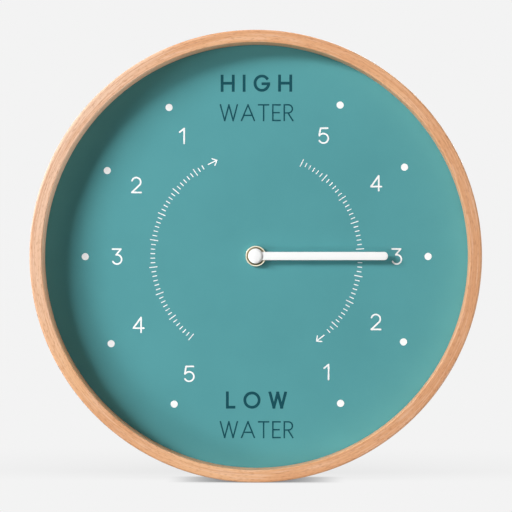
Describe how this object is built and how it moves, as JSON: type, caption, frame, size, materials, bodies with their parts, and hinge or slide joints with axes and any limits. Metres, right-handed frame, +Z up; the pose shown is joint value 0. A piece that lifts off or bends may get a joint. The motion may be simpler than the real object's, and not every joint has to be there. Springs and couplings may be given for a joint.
{
  "type": "tide clock",
  "caption": "Round wall tide clock: bent-wood ring, recessed matt teal dial with printed marks, one white hand on a knurled nut, and a battery quartz movement on a sheet hanger.",
  "frame": {"origin": "centre of the hanger's eye, in the middle of its sheet", "axes": "+Y from the dial towards the wall, +Z up, +X to the right as seen from the front"},
  "size_m": [0.3, 0.048, 0.3],
  "materials": {
    "beech": "oiled bent beech, fine grain along the ring",
    "teal_print": "matt teal print with white and dark teal marks",
    "board_fibre": "bare fibreboard",
    "zinc_steel": "zinc-plated sheet steel",
    "screw_steel": "plated screws",
    "black_rubber": "soft rubber washer",
    "nut_brass": "turned brass",
    "white_paint": "satin white paint",
    "white_plastic": "white moulded cap",
    "black_abs": "black moulded box",
    "gear_plastic": "natural acetal gears",
    "arbor_steel": "bright steel",
    "magnet_black": "bonded magnet",
    "iron_sheet": "soft iron sheet",
    "copper_wire": "enamelled copper winding",
    "board_green": "circuit board",
    "chip_black": "epoxy drop",
    "contact_nickel": "nickel-plated strip",
    "cell_sleeve": null,
    "knob_grey": "moulded knob"
  },
  "bodies": {
    "clock_case": {"wood_ring": "beech", "dial_plate": "teal_print", "backing_board": "board_fibre", "board_clips": "zinc_steel", "clip_screws": "screw_steel", "rubber_washer": "black_rubber", "hanger_plate": "zinc_steel", "threaded_bush": "nut_brass", "dial_washer": "nut_brass", "fixing_nut": "nut_brass", "stator": "iron_sheet", "coil_core": "iron_sheet", "coil_bobbin": "gear_plastic", "coil_winding": "copper_wire", "circuit_board": "board_green", "quartz_crystal": "arbor_steel", "driver_chip": "chip_black", "positive_contact": "contact_nickel", "negative_contact": "contact_nickel", "movement_case": "black_abs", "movement_cover": "black_abs"},
    "hand_group": {"hour_wheel": "gear_plastic", "tide_hand": "white_paint", "hand_collet": "nut_brass", "hand_cap": "white_plastic"},
    "centre_arbor_group": {"centre_arbor": "arbor_steel", "clutch_spring": "arbor_steel"},
    "setting_group": {"setting_wheel": "gear_plastic", "setting_knob": "knob_grey"},
    "centre_wheel_group": {"centre_wheel": "gear_plastic"},
    "second_wheel_group": {"second_wheel": "gear_plastic"},
    "first_wheel_group": {"first_wheel": "gear_plastic"},
    "rotor_group": {"rotor_pinion": "gear_plastic", "rotor_magnet": "magnet_black"},
    "battery_group": {"battery_cell": "cell_sleeve"}
  },
  "joints": [
    {"name": "hand_turn", "type": "hinge", "parent": "clock_case", "child": "hand_group", "pos_m": [0, -0.01025, -0.04162], "axis": [0, 1, 0], "continuous": true},
    {"name": "centre_arbor_turn", "type": "hinge", "parent": "clock_case", "child": "centre_arbor_group", "pos_m": [0, -0.01025, -0.04162], "axis": [0, 1, 0], "continuous": true},
    {"name": "setting_turn", "type": "hinge", "parent": "clock_case", "child": "setting_group", "pos_m": [0.00886, -0.01025, -0.04318], "axis": [0, 1, 0], "continuous": true},
    {"name": "second_wheel_turn", "type": "hinge", "parent": "clock_case", "child": "second_wheel_group", "pos_m": [0.00152, -0.01025, -0.033], "axis": [0, 1, 0], "continuous": true},
    {"name": "centre_wheel_turn", "type": "hinge", "parent": "clock_case", "child": "centre_wheel_group", "pos_m": [0, -0.01025, -0.04162], "axis": [0, 1, 0], "continuous": true},
    {"name": "first_wheel_turn", "type": "hinge", "parent": "clock_case", "child": "first_wheel_group", "pos_m": [-0.00606, -0.01025, -0.02863], "axis": [0, 1, 0], "continuous": true},
    {"name": "rotor_turn", "type": "hinge", "parent": "clock_case", "child": "rotor_group", "pos_m": [-0.01311, -0.01025, -0.03119], "axis": [0, 1, 0], "continuous": true},
    {"name": "battery_lift", "type": "slide", "parent": "clock_case", "child": "battery_group", "axis": [0, 1, 0], "range_m": [0, 0.03]}
  ],
  "couplings": [
    {"joint": "setting_turn", "follows": "hand_turn", "ratio": -4},
    {"joint": "centre_arbor_turn", "follows": "hand_turn", "ratio": 12},
    {"joint": "centre_wheel_turn", "follows": "second_wheel_turn", "ratio": -0.16667},
    {"joint": "first_wheel_turn", "follows": "second_wheel_turn", "ratio": -6},
    {"joint": "rotor_turn", "follows": "second_wheel_turn", "ratio": 30}
  ]
}
